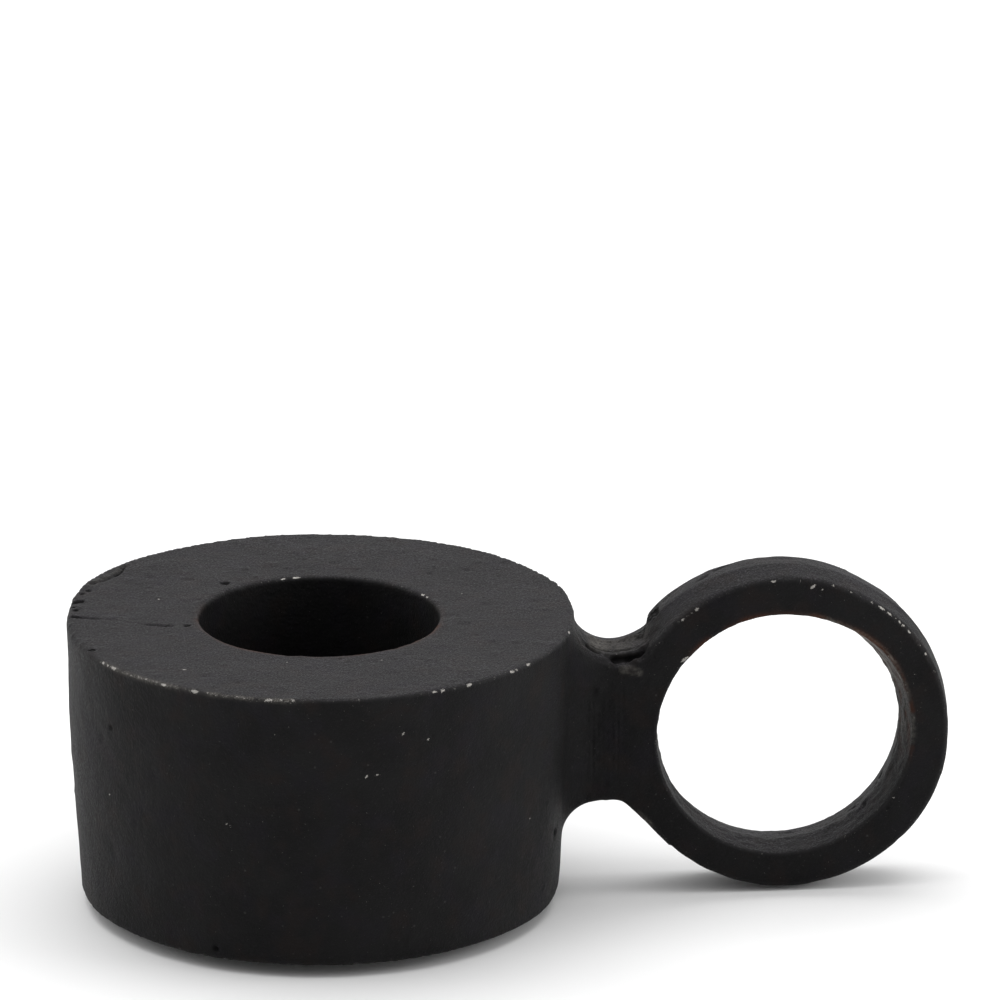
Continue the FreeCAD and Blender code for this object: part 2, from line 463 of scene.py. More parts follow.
# Sand holes: (place, radius, depth)
PITS = [
    ((-8.2, 10.4, RIM_Z), 0.34, 0.5),
    ((-22.3, -7.9, RIM_Z), 0.3, 0.5),
    ((-12.75, -1.65, RIM_Z), 0.28, 0.45),
    (on_rim(156.0, 0.9, 0.1), 0.28, 0.4),
    (on_rim(158.5, 0.6, 0.1), 0.22, 0.4),
    (on_rim(163.8, 1.1, 0.0), 0.3, 0.45),
    (on_rim(164.7, 0.7, 0.1), 0.28, 0.45),
    (on_rim(165.3, 0.35, 0.2), 0.24, 0.4),
    (on_rim(168.6, 0.7, 0.1), 0.2, 0.35),
    (on_rim(170.6, 1.0, 0.0), 0.22, 0.4),
    (on_rim(175.4, 1.2, 0.0), 0.24, 0.4),
    (on_rim(175.0, 0.7, 0.1), 0.2, 0.35),
    (on_side(-20.5, 8.6), 0.34, 0.3),
    (on_side(-150.0, 22.0), 0.3, 0.15),
    (on_side(-120.5, 2.2), 0.3, 0.25),
    (on_side(-28.0, 4.0), 0.4, 0.08),
    (on_ring(-33, 12.0, 1.6), 0.45, 0.3),
    (on_ring(-38, 12.0, 0.2), 0.35, 0.3),
    (on_ring(-47, 12.0, -0.6), 0.4, 0.25),
    (on_ring(-52, 12.0, 1.0), 0.3, 0.2),
    (on_ring(-38.6, 12.75, FRONT_FACE), 0.18, 0.12),
]

# Paint knocked off down to the iron: (angle, half length, how bare)
RIM_CHIPS = [
    (-152.4, 0.28, 0.9), (-150.4, 0.2, 0.75), (-148.2, 0.42, 1.0), (-142.0, 0.16, 0.7),
    (-137.4, 0.14, 0.65), (-132.0, 0.42, 0.9), (-123.8, 0.5, 0.95), (-120.6, 0.16, 0.6),
    (-106.2, 0.5, 0.85), (-103.4, 0.2, 0.6), (-100.8, 0.25, 0.7), (-86.0, 0.12, 0.5),
    (-68.5, 0.3, 0.8), (-66.4, 0.3, 0.85), (-59.4, 0.35, 0.95), (-52.0, 0.12, 0.5),
    (-46.4, 0.35, 0.8), (-44.8, 0.2, 0.7), (-40.4, 0.4, 0.8), (-31.0, 0.12, 0.5),
    (-16.5, 0.35, 1.0), (15.0, 0.2, 0.65), (34.0, 0.3, 0.7), (41.0, 0.15, 0.6),
    (82.0, 0.2, 0.65), (104.0, 0.3, 0.7), (126.0, 0.2, 0.6), (176.0, 0.25, 0.75),
]
RING_CHIPS = [
    (130.0, 0.3, 0.9), (128.0, 0.14, 0.75), (126.1, 0.18, 0.85), (123.7, 0.3, 1.0), (94.6, 0.3, 0.85),
    (85.0, 0.12, 0.5), (73.0, 0.18, 0.75), (66.0, 0.18, 0.75), (62.0, 0.2, 0.85), (57.5, 0.36, 1.0),
    (53.4, 0.6, 1.0), (49.7, 0.45, 0.95), (46.8, 0.12, 0.7), (44.8, 0.2, 0.85), (42.9, 0.2, 0.85),
    (39.7, 0.28, 0.85), (33.1, 0.12, 0.6), (29.4, 0.2, 0.8), (22.0, 0.1, 0.55), (-14.0, 0.1, 0.5),
]
MOUTH_CHIPS = [
    (102.2, 0.3, 0.9), (96.0, 0.42, 1.0), (27.2, 0.28, 0.95), (23.2, 0.2, 0.8), (-70.0, 0.15, 0.55),
]
# The same with a place for each: (place, half length, how bare)
LOOSE_CHIPS = [
    ((-14.9, 6.4, RIM_Z), 0.16, 0.85), ((-14.0, -14.3, RIM_Z), 0.28, 0.9),
    ((-4.2, -13.1, RIM_Z), 0.14, 0.65), ((4.8, -13.3, RIM_Z), 0.14, 0.65),
    ((14.2, 5.0, RIM_Z), 0.1, 0.6), (on_side(-84.3, 20.5), 0.26, 0.8),
    (on_side(-81.9, 20.6), 0.22, 0.8), (on_side(-75.9, 24.5), 0.24, 0.7),
    (on_side(-70.0, 23.6), 0.22, 0.68), (on_side(-152.5, 14.9), 0.14, 0.75),
    (on_side(-36.9, 12.2), 0.14, 0.85), (on_side(-87.0, 1.3), 0.14, 0.75),
    (on_ring(141.0, 12.5, FRONT_FACE), 0.55, 1.0), (on_ring(80.2, 15.0, FRONT_FACE), 0.4, 0.85),
    (on_ring(76.4, 14.85, FRONT_FACE), 0.15, 0.75), (on_ring(23.9, 13.7, FRONT_FACE), 0.12, 0.7),
    (on_ring(36.9, 12.25, FRONT_FACE), 0.2, 0.75), (on_side(-116.8, 15.3), 0.2, 0.55),
    (on_side(-115.9, 15.1), 0.16, 0.5), (on_ring(-33.4, 12.6, FRONT_FACE), 0.1, 0.7),
]


def across_grain(*columns):
    """Points for noise drawn out along some directions: one column for each axis of the noise."""
    rows = max(len(np.atleast_1d(c)) for c in columns)
    return np.stack([np.broadcast_to(c, rows).astype(float) for c in columns], axis=1)


def near_path(p, path):
    """(distance from a path of straight legs, share of the way along it)"""
    best = np.full(len(p), 1e9)
    share = np.zeros(len(p))
    for leg, (start, end) in enumerate(zip(path, path[1:])):
        start, end = np.array(start, dtype=float), np.array(end, dtype=float)
        along = np.clip(((p - start) @ (end - start)) / ((end - start) @ (end - start)), 0, 1)
        d = np.linalg.norm(p - start - along[:, None] * (end - start), axis=1)
        closer = d < best
        best[closer] = d[closer]
        share[closer] = (leg + along[closer]) / (len(path) - 1)
    return best, share


def from_path(p, path):
    """Distance from a path of straight legs."""
    return near_path(p, path)[0]


class Relief:
    """How far each point stands out from the true shape, how much painted shade it takes in its hollows,
    how bare or rusty it is, and how worn, with a painted highlight where it is worn most, inside the
    ring's hole.
    """

    def __init__(self, p, normal):
        self.p, self.normal = p, normal
        self.out = np.zeros(len(p))
        self.painted_shade = np.zeros(len(p))
        self.bare = np.zeros(len(p))
        self.rust = np.zeros(len(p))
        self.wear_and_highlight = np.zeros(len(p))
        self.ring_angle = np.degrees(np.arctan2(p[:, 2] - RING_Z, p[:, 0] - RING_X))

    def sink(self, shape, depth, dark=1.0):
        self.out -= depth * shape
        # The mark's darkness is painted shade: the dent is coloured near black where shade would fall.
        self.painted_shade = np.maximum(self.painted_shade, dark * shape)

    def waviness(self):
        """The unevenness of a sand casting, calmer on the handle and the top face."""
        p = self.p
        calm = 1 - 0.45 * step(24, 28, p[:, 0]) - 0.15 * step(29, 34, p[:, 0])
        self.out += calm * (0.06 * noise(p, 9.0, 1) + 0.035 * noise(p, 3.2, 2))
        calm = (1 - 0.5 * step(0.6, 0.95, self.normal[:, 2])) * (1 - 0.4 * step(29, 34, p[:, 0]))
        self.out += calm * (0.022 * noise(p, 1.4, 3) + 0.014 * noise(p, 0.7, 4))

    def joint_line(self):
        """The mould's joint over the top face, as a groove painted with shade, and as a low seam down the
        cup's far side.
        """
        p = self.p
        d = from_path(p, [(x, y, RIM_Z) for x, y in JOINT_LINE]) + 0.05 * noise(p, 0.8, 30)
        by_rim = 0.6 * step(-20.4, -21.6, p[:, 0])
        by_mouth = 0.85 * step(-17.1, -16.2, p[:, 0])
        broken = np.clip(1 + 0.6 * noise(across_grain(p[:, 0] / 0.7, 0.5, 0.5), 1.0, 5), 0.2, 1)
        strength = (0.16 + by_rim + by_mouth) * broken
        self.sink(np.exp(-(d / 0.16) ** 2) * strength * (p[:, 2] > RIM_Z - 1.2), 0.22, 1.0)
        seam = np.exp(-(p[:, 1] / 0.28) ** 2) * (p[:, 0] < -20) * step(0.1, 0.6, -self.normal[:, 0])
        self.out += 0.08 * seam * (0.5 + 0.5 * noise(p, 2.2, 6))

    def torn_sliver(self):
        """A flap of iron at the rim, gritty and a little worn, with painted shade in its grit and in the
        tear behind it.
        """
        p = self.p
        path = [on_rim(angle, inset, 0.05) for angle, inset in TORN_SLIVER]
        d = from_path(p, path) + 0.08 * noise(p, 0.7, 8)
        tear = np.exp(-(d / 0.17) ** 2) * (p[:, 2] > RIM_Z - 0.6)
        outside = step(1.2, 0.8, RIM_RADIUS - np.hypot(p[:, 0], p[:, 1]))
        flap = outside * np.exp(-(d / 0.8) ** 4)
        grit = noise(p, 0.45, 31)
        self.out += 0.1 * flap * grit
        # Dark grit on the flap is painted shade.
        self.painted_shade = np.maximum(self.painted_shade, 0.5 * flap * step(0.3, 0.6, -grit))
        self.wear_and_highlight = np.maximum(self.wear_and_highlight, 0.35 * flap)
        self.sink(tear, 0.35)

    def pits(self):
        # Each sand hole is dented and painted with shade, the deeper the darker.
        for place, radius, depth in PITS:
            d = np.linalg.norm((self.p - place), axis=1) / radius
            d = d * (1 + 0.3 * noise(self.p + radius, 0.4, 9))
            self.sink(np.exp(-d ** 4), depth, min(1, depth / 0.35))

    def sand_grains(self):
        """Small bumps and dimples left by the sand, all over."""
        rng = np.random.default_rng(7)
        pick = np.sort(rng.choice(len(self.p), SAND_GRAINS, replace=False))
        for centre, size in zip(self.p[pick], rng.uniform(0.2, 0.6, SAND_GRAINS)):
            height = rng.choice([-0.08, -0.05, 0.04, 0.07]) * (0.55 if centre[0] > RING_LOW[0] else 1)
            near = np.flatnonzero(np.abs(self.p - centre).max(1) < 2.2 * size)
            d = np.linalg.norm(self.p[near] - centre, axis=1) / size
            self.out[near] += height * np.exp(-d ** 2)

    def neck_saddle(self):
        """Flash and worn paint along the saddle, and a line and a nick beside the cup, both painted with
        shade.
        """
        p = self.p
        x, y, z = p.T
        saddle = step(25.4, 26.2, x) * (1 - step(31.0, 32.0, x))
        saddle = saddle * step(21.5, 23.0, z) * step(0.2, 0.7, self.normal[:, 2])
        flash = saddle * np.exp(-((y - 0.8) / 0.5) ** 2)
        self.out += 0.25 * flash * (1 + 0.5 * noise(p, 1.0, 10))
        band = saddle * np.exp(-((y + 0.1) / 1.7) ** 4)
        fade = 1.1 - 0.55 * step(26.8, 28.2, x)
        self.wear_and_highlight = np.maximum(self.wear_and_highlight, band * (fade + 0.2 * noise(p, 0.9, 15)))
        d = from_path(p * [1, 1, 0], SADDLE_LINE)
        self.sink(saddle * np.exp(-(d / 0.2) ** 2), 0.12, 0.7)
        d = from_path(p, NICK_BY_CUP)
        self.sink(np.exp(-(d / 0.42) ** 4), 0.3, 1.0)
        self.out += 0.1 * saddle * (y < -1.5) * noise(p, 0.6, 11)

    def neck_slot(self):
        """A slot where the mould's halves missed, painted with shade, and a rubbed patch under it."""
        p = self.p
        d, share = near_path(p, MISMATCH_SLOT)
        self.sink(np.exp(-(d / (0.34 - 0.1 * share)) ** 4), 0.25, 0.95)
        patch = np.exp(-(from_path(p, PATCH_UNDER_SLOT) / 0.45) ** 4)
        self.out += 0.16 * patch * (0.8 + noise(p, 0.6, 16))
        self.wear_and_highlight = np.maximum(self.wear_and_highlight, patch * (0.5 + 0.4 * noise(p, 0.5, 17)))

    def neck_rake(self):
        """Upright scratches on the flare that runs into the cup."""
        x, z = self.p[:, 0], self.p[:, 2]
        flare = step(25.2, 25.9, x) * (1 - step(28.8, 29.6, x))
        flare = flare * step(10.5, 13, z) * (1 - step(20.5, 22.5, z))
        scratches = noise(across_grain(x / 0.24, 3.3, z / 8.0), 1.0, 12)
        self.out += 0.05 * flare * scratches * step(0.2, 0.6, np.abs(self.normal[:, 1]))

    def hole_seams(self):
        """Seams inside the hole from the mould's halves, painted with shade, and streaks and worn paint on
        its far side, where the most worn band also carries a painted highlight.
        """
        p, angle = self.p, self.ring_angle
        x, y, z = p.T
        inside = step(0.4, 0.2, np.abs(hole_gap(x, y, z, angle)))
        for offset, low, high in HOLE_SEAMS:
            wander = offset + 0.3 * noise(across_grain(angle / 12, 0.5, 0.5), 1.0, 13)
            seam = inside * np.exp(-((y - wander) / 0.16) ** 2)
            seam = seam * step(low - 10, low, angle) * (1 - step(high, high + 8, angle))
            self.sink(seam, 0.15, 0.85)
        streak = noise(across_grain(angle / 5.0, y / 0.45, 0.5), 1.0, 32)
        deep = inside * (1 - step(2.0, 3.0, np.abs(y)))
        self.out += 0.06 * deep * streak + 0.02 * (inside + deep) * noise(p, 0.5, 33)
        far_side = inside * step(-25, 5, angle) * (1 - step(65, 90, angle))
        scuffed = np.clip(0.4 + 0.4 * step(12, 35, angle) + 0.6 * streak, 0, 1)
        # The polished band is partly wear and partly a painted highlight on the lit far wall of the hole.
        polish_and_highlight = step(12, 30, angle) * (1 - step(62, 80, angle)) * step(-0.6, 0.2, streak)
        self.wear_and_highlight = np.maximum(self.wear_and_highlight, far_side * (scuffed + polish_and_highlight))
        self.rust = np.maximum(self.rust, 0.6 * far_side * np.clip(-1.5 * streak, 0, 1))

    def ring_band(self):
        """A knobbly front edge, wrinkles and laps on the band, the laps painted with shade, and a rub low
        on its cup side.
        """
        p, angle = self.p, self.ring_angle
        x, y, z = p.T
        from_centre = np.hypot(x - RING_X, z - RING_Z)
        front_edge = np.exp(-((from_centre - RING_FRONT_EDGE) / 0.45) ** 2) * step(-2.6, -3.2, y)
        self.out += 0.07 * front_edge * step(0, 25, angle) * noise(p, 0.8, 36)
        band = step(14.8, 15.4, from_centre) * (x > 31)
        self.out += 0.04 * band * noise(across_grain(angle / 6.0, y / 0.9, 1.5), 1.0, 14)
        radius = RING_PARTING_RADIUS + 0.2
        for start, end, y_start, y_end in BAND_LAPS:
            d = from_path(p, [on_ring(start, radius, y_start), on_ring(end, radius, y_end)])
            self.sink(np.exp(-(d / 0.24) ** 2), 0.14, 0.9)
        rub = np.exp(-(from_path(p, RUB_UNDER_NECK) / 0.4) ** 4)
        self.wear_and_highlight = np.maximum(self.wear_and_highlight, 0.8 * rub)

    def lump_end(self):
        """The rough end of the extra metal on the ring, above the neck, painted dark with shade."""
        p, angle = self.p, self.ring_angle
        from_centre = np.hypot(p[:, 0] - RING_X, p[:, 2] - RING_Z)
        end = step(15.2, 15.6, from_centre) * step(134.0, 136.5, angle) * (1 - step(146, 150, angle))
        ragged = p[:, 1] + 0.8 * noise(p, 1.1, 18)
        end = end * step(-0.9, 0.4, ragged) * (1 - step(1.8, 3.0, ragged))
        self.out += end * (0.12 * noise(p, 0.7, 19) + 0.1 * noise(p, 0.3, 24))
        # The end is coloured near black as painted shade.
        self.painted_shade = np.maximum(self.painted_shade, end * np.clip(0.7 + 0.6 * noise(p, 0.5, 20), 0, 1))

    def rubbed_openings(self):
        """Rust showing through where paint is thin, round the socket's mouth and in the ring's hole."""
        x, y, z = self.p.T
        mouth = np.hypot(np.hypot(x, y) - SOCKET_RADIUS - 0.1, z - RIM_Z + 0.15)
        towards_front = step(8, -8, y)
        hole_edge = np.hypot(hole_gap(x, y, z, self.ring_angle), 1.2 * (np.abs(y) - HALF_THICKNESS))
        upper = step(5, 50, self.ring_angle) * (1 - step(125, 145, self.ring_angle))
        near = 0.8 * towards_front * np.exp(-(mouth / 0.4) ** 2)
        near = near + 1.2 * upper * np.exp(-(hole_edge / 0.36) ** 2)
        self.rust = np.maximum(self.rust, np.clip(near * (0.6 + 0.8 * noise(self.p, 1.4, 34)), 0, 1))

    def chip(self, place, half, strength, direction):
        """Bares one fleck of iron, `half` long each way along its direction."""
        near = np.flatnonzero(np.abs(self.p - place).max(1) < half + 0.6)
        if not len(near):
            return
        offset = self.p[near] - place
        along = offset @ np.array(direction)
        side = np.linalg.norm(offset - along[:, None] * np.array(direction), axis=1)
        d = np.hypot(along / half, side / (0.11 + 0.1 * half))
        fleck = strength * (1 - step(0.4, 1.3, d))
        self.bare[near] = np.maximum(self.bare[near], fleck)
        self.out[near] -= 0.04 * fleck

    def chips(self):
        """A fretted line along part of the rim, and all the flecks in the lists above."""
        x, y, z = self.p.T
        along_rim = np.degrees(np.arctan2(y, x))
        fretted = step(-158, -150, along_rim) * (1 - step(-104, -96, along_rim))
        edge_line = np.exp(-(np.hypot(np.hypot(x, y) - RIM_RADIUS + 0.1, z - RIM_Z + 0.1) / 0.26) ** 2)
        patchy = np.clip(0.7 + 0.6 * noise(self.p, 1.3, 35), 0, 1)
        self.wear_and_highlight = np.maximum(self.wear_and_highlight, fretted * edge_line * patchy)
        self.bare = np.maximum(self.bare, 0.33 * fretted * edge_line * patchy)
        for angle, half, strength in RIM_CHIPS:
            dx, dy = turning(angle)
            self.chip(on_rim(angle, 0.08, 0.12), half, strength, (dx, dy, 0.0))
        for angle, half, strength in RING_CHIPS:
            dx, dz = turning(angle)
            place = on_ring(angle, RING_FRONT_EDGE, FRONT_FACE + 0.1)
            self.chip(place, half, strength, (dx, 0.0, dz))
        for angle, half, strength in MOUTH_CHIPS:
            dx, dy = turning(angle)
            self.chip(on_rim(angle, MOUTH_INSET, 0.08), half, strength, (dx, dy, 0.0))
        for place, half, strength in LOOSE_CHIPS:
            self.chip(place, half, strength, (0.8, 0.0, 0.6))


# ---- Mesh making ----


def vertex_places(bm):
    bm.verts.index_update()
    return np.array([v.co for v in bm.verts])


def relaxed(bm, rounds):
    p = vertex_places(bm)
    edges = np.array([(e.verts[0].index, e.verts[1].index) for e in bm.edges])
    p = relax(project(p), edges, rounds)
    for vert, place in zip(bm.verts, p):
        vert.co = place
    return p


def refine(bm, fine, rounds):
    """Halves the edges between the chosen vertices."""
    bm.verts.index_update()
    chosen = [e for e in bm.edges if fine[e.verts[0].index] and fine[e.verts[1].index]]
    bmesh.ops.subdivide_edges(bm, edges=chosen, cuts=1, use_grid_fill=True)
    return relaxed(bm, rounds)


def near_marks(p, reach):
    """Which points lie close to a sand hole or a loose chip."""
    near = np.zeros(len(p), dtype=bool)
    for place, *_ in PITS + LOOSE_CHIPS:
        near |= np.linalg.norm(p - place, axis=1) < reach
    return near


def mesh_casting():
    """The true shape as a closed mesh, and where its points are."""
    p, quads = surface_net(np.minimum(CUP_LOW, RING_LOW), np.maximum(CUP_HIGH, RING_HIGH), GRID_STEP)
    bm = bmesh.new()
    for point in project(p):
        bm.verts.new(point)
    bm.verts.ensure_lookup_table()
    for quad in quads:
        bm.faces.new([bm.verts[i] for i in quad])
    p = relaxed(bm, 6)

    # Finer on the top face, the handle, every edge and the small marks, and then finer again on the
    # edges, the neck and the small marks
    top = (p[:, 2] > RIM_Z - 1.5) & (np.hypot(p[:, 0], p[:, 1]) > SOCKET_RADIUS - 1)
    edges = bend(p, unit(gradient(p))) > 0.04
    p = refine(bm, top | edges | (p[:, 0] > CUP_NECK_CUT - 1) | near_marks(p, 1.3), 3)
    edges = (bend(p, unit(gradient(p))) > 0.06) & (p[:, 2] > BASE_Z + 2)
    neck_area = (p[:, 0] > CUP_NECK_CUT - 0.5) & (p[:, 0] < NECK_RING_CUT + 4)
    return bm, refine(bm, edges | neck_area | near_marks(p, 0.8), 2)


def all_marks(p, normal):
    """Every mark laid on in turn; later ones add to what is there."""
    relief = Relief(p, normal)
    relief.waviness()
    relief.joint_line()
    relief.torn_sliver()
    relief.pits()
    relief.sand_grains()
    relief.neck_saddle()
    relief.neck_slot()
    relief.neck_rake()
    relief.hole_seams()
    relief.ring_band()
    relief.lump_end()
    relief.rubbed_openings()
    relief.chips()
    return relief


def make_casting():
    """The whole casting with its marks, as relief and as vertex attributes for the material."""
    bm, p = mesh_casting()
    normal = unit(gradient(p))
    relief = all_marks(p, normal)
    edge = np.clip(bend(p, normal) / 0.12, 0, 1)
    # The hollows' layer carries painted shade, and the wear layer also a painted highlight where it runs
    # highest.
    layers = [bm.verts.layers.float.new(name) for name in ("edge", "painted_shade", "bare", "rust", "wear_and_highlight")]
    moved = p + normal * relief.out[:, None]
    marks = zip(edge, relief.painted_shade, relief.bare, relief.rust, relief.wear_and_highlight)
    for vert, place, values in zip(bm.verts, moved, marks):
        vert.co = place * MM
        for layer, value in zip(layers, values):
            vert[layer] = value
    bmesh.ops.recalc_face_normals(bm, faces=bm.faces)
    return bm


def as_object(bm, name):
    mesh = bpy.data.meshes.new(name)
    bm.to_mesh(mesh)
    bm.free()
    made = bpy.data.objects.new(name, mesh)
    bpy.context.collection.objects.link(made)
    return made


def part_off(source, name, cuts):
    """The stretch of the casting between planes across X, closed with a flat cap at each."""
    bm = source.copy()
    for x, keep in cuts:
        geometry = list(bm.verts) + list(bm.edges) + list(bm.faces)
        done = bmesh.ops.bisect_plane(
            bm, geom=geometry, plane_co=(x * MM, 0, 0), plane_no=(keep, 0, 0), dist=1e-7, clear_inner=True)
        rim = [g for g in done["geom_cut"] if isinstance(g, bmesh.types.BMEdge)]
        filled = bmesh.ops.triangle_fill(bm, edges=rim, use_beauty=True, use_dissolve=False)
        for edge in rim:
            edge.smooth = False
        for face in filled["geom"]:
            if isinstance(face, bmesh.types.BMFace):
                face.smooth = False
    bmesh.ops.recalc_face_normals(bm, faces=bm.faces)
    return as_object(bm, name)


FELT_EDGE = 0.3              # how far the pad's edge bulges out, mm


def pad_profile(radius, height):
    """The pad's outline as (radius, z), from the middle of its underside round to that of its top."""
    face = np.linspace(0.04, 0.985, 40)
    profile = [(radius * share, 0.0) for share in face]
    for a in np.linspace(-80, 80, 9):
        bulge, rise = math.cos(math.radians(a)), math.sin(math.radians(a))
        profile.append((radius - FELT_EDGE + FELT_EDGE * bulge, height / 2 + height / 2 * rise))
    return profile + [(radius * share, height) for share in face[::-1]]


def make_pad():
    """Pressed felt disc: a lathe form with a soft, slightly ragged edge."""
    radius = PAD_HIGH[0]
    height = PAD_HIGH[2]
    turns = 360
    bm = bmesh.new()
    rings = []
    for radial, z in pad_profile(radius, height):
        around = []
        for k in range(turns):
            a = 2 * math.pi * k / turns
            around.append((radial * math.cos(a), radial * math.sin(a), z))
        points = np.array(around)
        fluff = 0.05 * noise(points, 0.9, 21) + 0.04 * noise(points, 0.35, 22)
        reach = 1 + fluff / max(radial, 1.0) * (radial > 0.97 * radius)
        points[:, :2] *= np.minimum(reach, radius / max(radial, 1e-6))[:, None]
        if radial < 0.99 * radius:
            points[:, 2] += (0.03 + 0.03 * noise(points, 0.8, 23)) * (1 if z < height / 2 else -1)
        rings.append([bm.verts.new(point * MM) for point in points])
    for lower, upper in zip(rings, rings[1:]):
        for k in range(turns):
            after = (k + 1) % turns
            bm.faces.new((lower[k], lower[after], upper[after], upper[k]))
    for ring_of_verts in (rings[0], rings[-1]):
        centre = bm.verts.new(sum((v.co for v in ring_of_verts), Vector()) / turns)
        for k in range(turns):
            bm.faces.new((ring_of_verts[k], ring_of_verts[(k + 1) % turns], centre))
    bmesh.ops.recalc_face_normals(bm, faces=bm.faces)
    return as_object(bm, "felt_pad")


# ---- Materials ----


class Nodes:
    """A short way to write a material's node tree."""

    def __init__(self, name):
        self.material = bpy.data.materials.new(name)
        self.material.use_nodes = True
        self.tree = self.material.node_tree
        self.tree.nodes.clear()
        self.shader = self.tree.nodes.new("ShaderNodeBsdfPrincipled")
        output = self.tree.nodes.new("ShaderNodeOutputMaterial")
        self.link(self.shader.outputs[0], output.inputs[0])

    def link(self, source, target):
        self.tree.links.new(source, target)

    def feed(self, value, socket):
        if isinstance(value, bpy.types.NodeSocket):
            self.link(value, socket)
        else:
            socket.default_value = value

    def millimetres(self):
        place = self.tree.nodes.new("ShaderNodeTexCoord").outputs["Object"]
        scale = self.tree.nodes.new("ShaderNodeVectorMath")
        scale.operation = "SCALE"
        self.link(place, scale.inputs[0])
        scale.inputs["Scale"].default_value = 1 / MM
        return scale.outputs[0]

    def shifted(self, place, far):
        node = self.tree.nodes.new("ShaderNodeVectorMath")
        self.link(place, node.inputs[0])
        node.inputs[1].default_value = (far, far, far)
        return node.outputs[0]

    def noise(self, place, size, detail=2.0, rough=0.5):
        node = self.tree.nodes.new("ShaderNodeTexNoise")
        self.link(place, node.inputs["Vector"])
        node.inputs["Scale"].default_value = 1 / size
        node.inputs["Detail"].default_value = detail
        node.inputs["Roughness"].default_value = rough
        return node.outputs["Fac"]

    def specks(self, place, size):
        node = self.tree.nodes.new("ShaderNodeTexVoronoi")
        self.link(place, node.inputs["Vector"])
        node.inputs["Scale"].default_value = 1 / size
        return node.outputs["Distance"], node.outputs["Color"]

    def math(self, operation, a, b=0.0):
        node = self.tree.nodes.new("ShaderNodeMath")
        node.operation = operation
        self.feed(a, node.inputs[0])
        self.feed(b, node.inputs[1])
        return node.outputs[0]

    def ramp(self, value, low, high, to_low=0.0, to_high=1.0):
        node = self.tree.nodes.new("ShaderNodeMapRange")
        node.interpolation_type = "SMOOTHSTEP"
        self.link(value, node.inputs["Value"])
        ends = {"From Min": low, "From Max": high, "To Min": to_low, "To Max": to_high}
        for name, number in ends.items():
            node.inputs[name].default_value = number
        return node.outputs["Result"]

    def mix(self, share, a, b):
        node = self.tree.nodes.new("ShaderNodeMix")
        node.data_type = "RGBA"
        self.feed(share, node.inputs["Factor"])
        self.feed(a, node.inputs[6])
        self.feed(b, node.inputs[7])
        return node.outputs[2]

    def attribute(self, name):
        node = self.tree.nodes.new("ShaderNodeAttribute")
        node.attribute_name = name
        return node.outputs["Fac"]

    def facing_up(self):
        parts = self.tree.nodes.new("ShaderNodeSeparateXYZ")
        self.link(self.tree.nodes.new("ShaderNodeNewGeometry").outputs["Normal"], parts.inputs[0])
        return parts.outputs["Z"]

    def bump(self, height, distance, strength, under=None):
        node = self.tree.nodes.new("ShaderNodeBump")
        node.inputs["Distance"].default_value = distance
        node.inputs["Strength"].default_value = strength
        self.link(height, node.inputs["Height"])
        if under is not None:
            self.link(under, node.inputs["Normal"])
        return node.outputs["Normal"]


# Linear colours
PAINT_DARK = (0.0046, 0.0046, 0.0047, 1)
PAINT_PALER = (0.0073, 0.0073, 0.0074, 1)
PAINT_BROWN = (0.0102, 0.0072, 0.0064, 1)
PAINT_VIOLET = (0.0078, 0.0068, 0.0102, 1)
PAINT_IN_GRAIN = (0.016, 0.015, 0.0165, 1)
PAINT_ON_EDGES = (0.03, 0.029, 0.03, 1)
PAINT_RUBBED = (0.078, 0.073, 0.066, 1)
# Brightest: partly polish, partly a painted highlight inside the ring's hole
POLISH_AND_PAINTED_HIGHLIGHT = (0.2, 0.185, 0.168, 1)
# Paler on upward faces: partly dust, partly painted light from above
DUST_AND_TOPLIGHT = (0.042, 0.038, 0.044, 1)
RUST = (0.052, 0.017, 0.007, 1)
PALE_SPECK = (0.07, 0.068, 0.066, 1)
# Near black, for painted shade in the hollows
PAINTED_SHADE_BLACK = (0.0012, 0.0012, 0.0012, 1)
IRON_DULL = (0.12, 0.115, 0.105, 1)
IRON_BRIGHT = (0.5, 0.48, 0.45, 1)
FELT_DARK = (0.012, 0.012, 0.013, 1)
FELT_PALER = (0.04, 0.04, 0.042, 1)
FELT_CLUMPED = (0.05, 0.05, 0.05, 1)
FLOOR_WHITE = (0.85, 0.85, 0.85, 1)
FLOOR_WHITER = (0.865, 0.865, 0.865, 1)


def clouded_paint(n, place, grain):
    """Black, clouded with brown and violet, and paler in its grain."""
    cloud = n.noise(place, 6.0, 3.0, 0.55)
    brown = n.noise(place, 2.6, 2.0)
    violet = n.noise(n.shifted(place, 40.0), 3.4, 2.0)
    paint = n.mix(n.ramp(cloud, 0.3, 0.7), PAINT_DARK, PAINT_PALER)
    paint = n.mix(n.ramp(brown, 0.48, 0.7, 0.0, 0.6), paint, PAINT_BROWN)
    paint = n.mix(n.ramp(violet, 0.48, 0.7, 0.0, 0.4), paint, PAINT_VIOLET)
    return n.mix(n.ramp(grain, 0.5, 0.72, 0.0, 0.5), paint, PAINT_IN_GRAIN)


